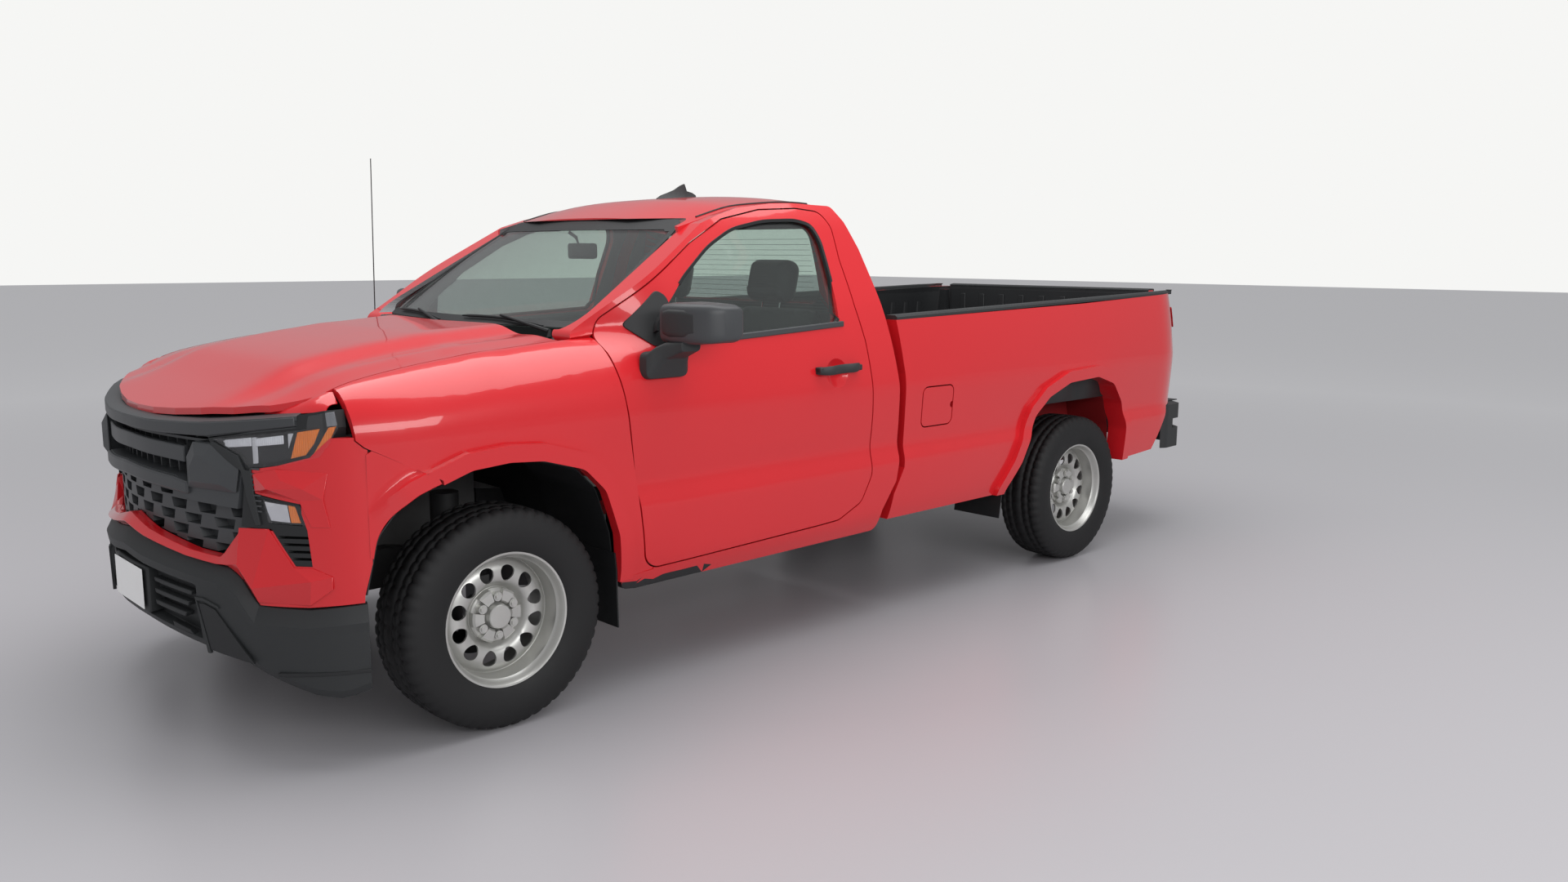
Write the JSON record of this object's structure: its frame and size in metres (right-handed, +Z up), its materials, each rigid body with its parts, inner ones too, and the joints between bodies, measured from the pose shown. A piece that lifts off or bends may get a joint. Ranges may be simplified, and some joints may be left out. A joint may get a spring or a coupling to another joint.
{
  "type": "pickup truck",
  "caption": "Two-door pickup truck with a regular cab and long open bed, with opening doors, hood, tailgate and fuel door, steering and rolling wheels.",
  "frame": {"origin": "on the floor below the middle of the truck's overall box", "axes": "+X forward, +Y to the truck's left, +Z up"},
  "size_m": [5.83, 2.4558, 2.08],
  "materials": {
    "red_paint": "gloss",
    "black_plastic": "textured",
    "frame_black": "satin",
    "cast_metal": "rough",
    "exhaust_steel": "satin",
    "tyre_rubber": "matte",
    "silver_wheel": "satin",
    "glass": "gloss",
    "lamp_clear": "gloss",
    "lamp_red": "gloss",
    "seat_cloth": "woven",
    "dash_plastic": "grained"
  },
  "bodies": {
    "truck": {"ladder_frame": "frame_black", "engine_block": "cast_metal", "driveline": "cast_metal", "rear_axle": "frame_black", "leaf_springs": "frame_black", "front_suspension": "frame_black", "exhaust": "exhaust_steel", "fuel_tank": "black_plastic", "spare_wheel": "tyre_rubber", "cab_shell": "red_paint", "fixed_glass": "glass", "front_fenders": "red_paint", "front_liner_left": "black_plastic", "front_liner_right": "black_plastic", "rear_mud_flaps": "black_plastic", "grille": "black_plastic", "front_fascia": "red_paint", "front_bumper": "black_plastic", "headlamps": "lamp_clear", "radiator": "frame_black", "bed_box": "red_paint", "bed_front": "red_paint", "wheelhouse_left": "red_paint", "wheelhouse_right": "red_paint", "bed_sides": "red_paint", "rail_caps": "black_plastic", "tail_lamps": "lamp_red", "rear_bumper": "black_plastic", "bench_seat": "seat_cloth", "dashboard": "dash_plastic", "cowl_panel": "black_plastic", "antennas": "black_plastic"},
    "hood": {"hood": "red_paint"},
    "tailgate": {"tailgate": "red_paint"},
    "fuel_door": {"fuel_door": "red_paint"},
    "steering_wheel": {"steering_wheel": "dash_plastic"},
    "door_left": {"door_left": "red_paint", "door_glass_left": "glass", "door_trim_left": "black_plastic"},
    "knuckle_left": {"knuckle_left": "cast_metal"},
    "wheel_front_left": {"tyre_front_left": "tyre_rubber", "rim_front_left": "silver_wheel"},
    "wheel_rear_left": {"tyre_rear_left": "tyre_rubber", "rim_rear_left": "silver_wheel"},
    "door_right": {"door_right": "red_paint", "door_glass_right": "glass", "door_trim_right": "black_plastic"},
    "knuckle_right": {"knuckle_right": "cast_metal"},
    "wheel_front_right": {"tyre_front_right": "tyre_rubber", "rim_front_right": "silver_wheel"},
    "wheel_rear_right": {"tyre_rear_right": "tyre_rubber", "rim_rear_right": "silver_wheel"}
  },
  "joints": [
    {"name": "steering_wheel_turn", "type": "hinge", "parent": "truck", "child": "steering_wheel", "pos_m": [1.0559, 0.38, 1.152], "axis": [-0.9063, 0, 0.4226], "range_deg": [-512, 512]},
    {"name": "steer_left", "type": "hinge", "parent": "truck", "child": "knuckle_left", "pos_m": [1.985, 0.775, 0.394], "axis": [0, 0, 1], "range_deg": [-32, 32]},
    {"name": "steer_right", "type": "hinge", "parent": "truck", "child": "knuckle_right", "pos_m": [1.985, -0.775, 0.394], "axis": [0, 0, 1], "range_deg": [-32, 32]},
    {"name": "wheel_front_left_spin", "type": "hinge", "parent": "knuckle_left", "child": "wheel_front_left", "pos_m": [1.985, 0.87, 0.394], "axis": [0, 1, 0], "continuous": true},
    {"name": "wheel_rear_left_spin", "type": "hinge", "parent": "truck", "child": "wheel_rear_left", "pos_m": [-1.561, 0.87, 0.394], "axis": [0, 1, 0], "continuous": true},
    {"name": "door_left_swing", "type": "hinge", "parent": "truck", "child": "door_left", "pos_m": [1.475, 1.005, 0.9], "axis": [0, 0, -1], "range_deg": [0, 65]},
    {"name": "wheel_front_right_spin", "type": "hinge", "parent": "knuckle_right", "child": "wheel_front_right", "pos_m": [1.985, -0.87, 0.394], "axis": [0, 1, 0], "continuous": true},
    {"name": "wheel_rear_right_spin", "type": "hinge", "parent": "truck", "child": "wheel_rear_right", "pos_m": [-1.561, -0.87, 0.394], "axis": [0, 1, 0], "continuous": true},
    {"name": "door_right_swing", "type": "hinge", "parent": "truck", "child": "door_right", "pos_m": [1.475, -1.005, 0.9], "axis": [0, 0, 1], "range_deg": [0, 65]},
    {"name": "hood_lift", "type": "hinge", "parent": "truck", "child": "hood", "pos_m": [1.6641, 0, 1.3302], "axis": [0, -1, 0], "range_deg": [0, 50]},
    {"name": "tailgate_drop", "type": "hinge", "parent": "truck", "child": "tailgate", "pos_m": [-2.6603, 0, 0.815], "axis": [0, -1, 0], "range_deg": [0, 90]},
    {"name": "fuel_door_swing", "type": "hinge", "parent": "truck", "child": "fuel_door", "pos_m": [-0.2175, 1.0065, 0.953], "axis": [0, 0, -1], "range_deg": [0, 95]}
  ],
  "couplings": [
    {"joint": "steer_left", "follows": "steering_wheel_turn", "ratio": 0.0625},
    {"joint": "steer_right", "follows": "steering_wheel_turn", "ratio": 0.0625}
  ]
}
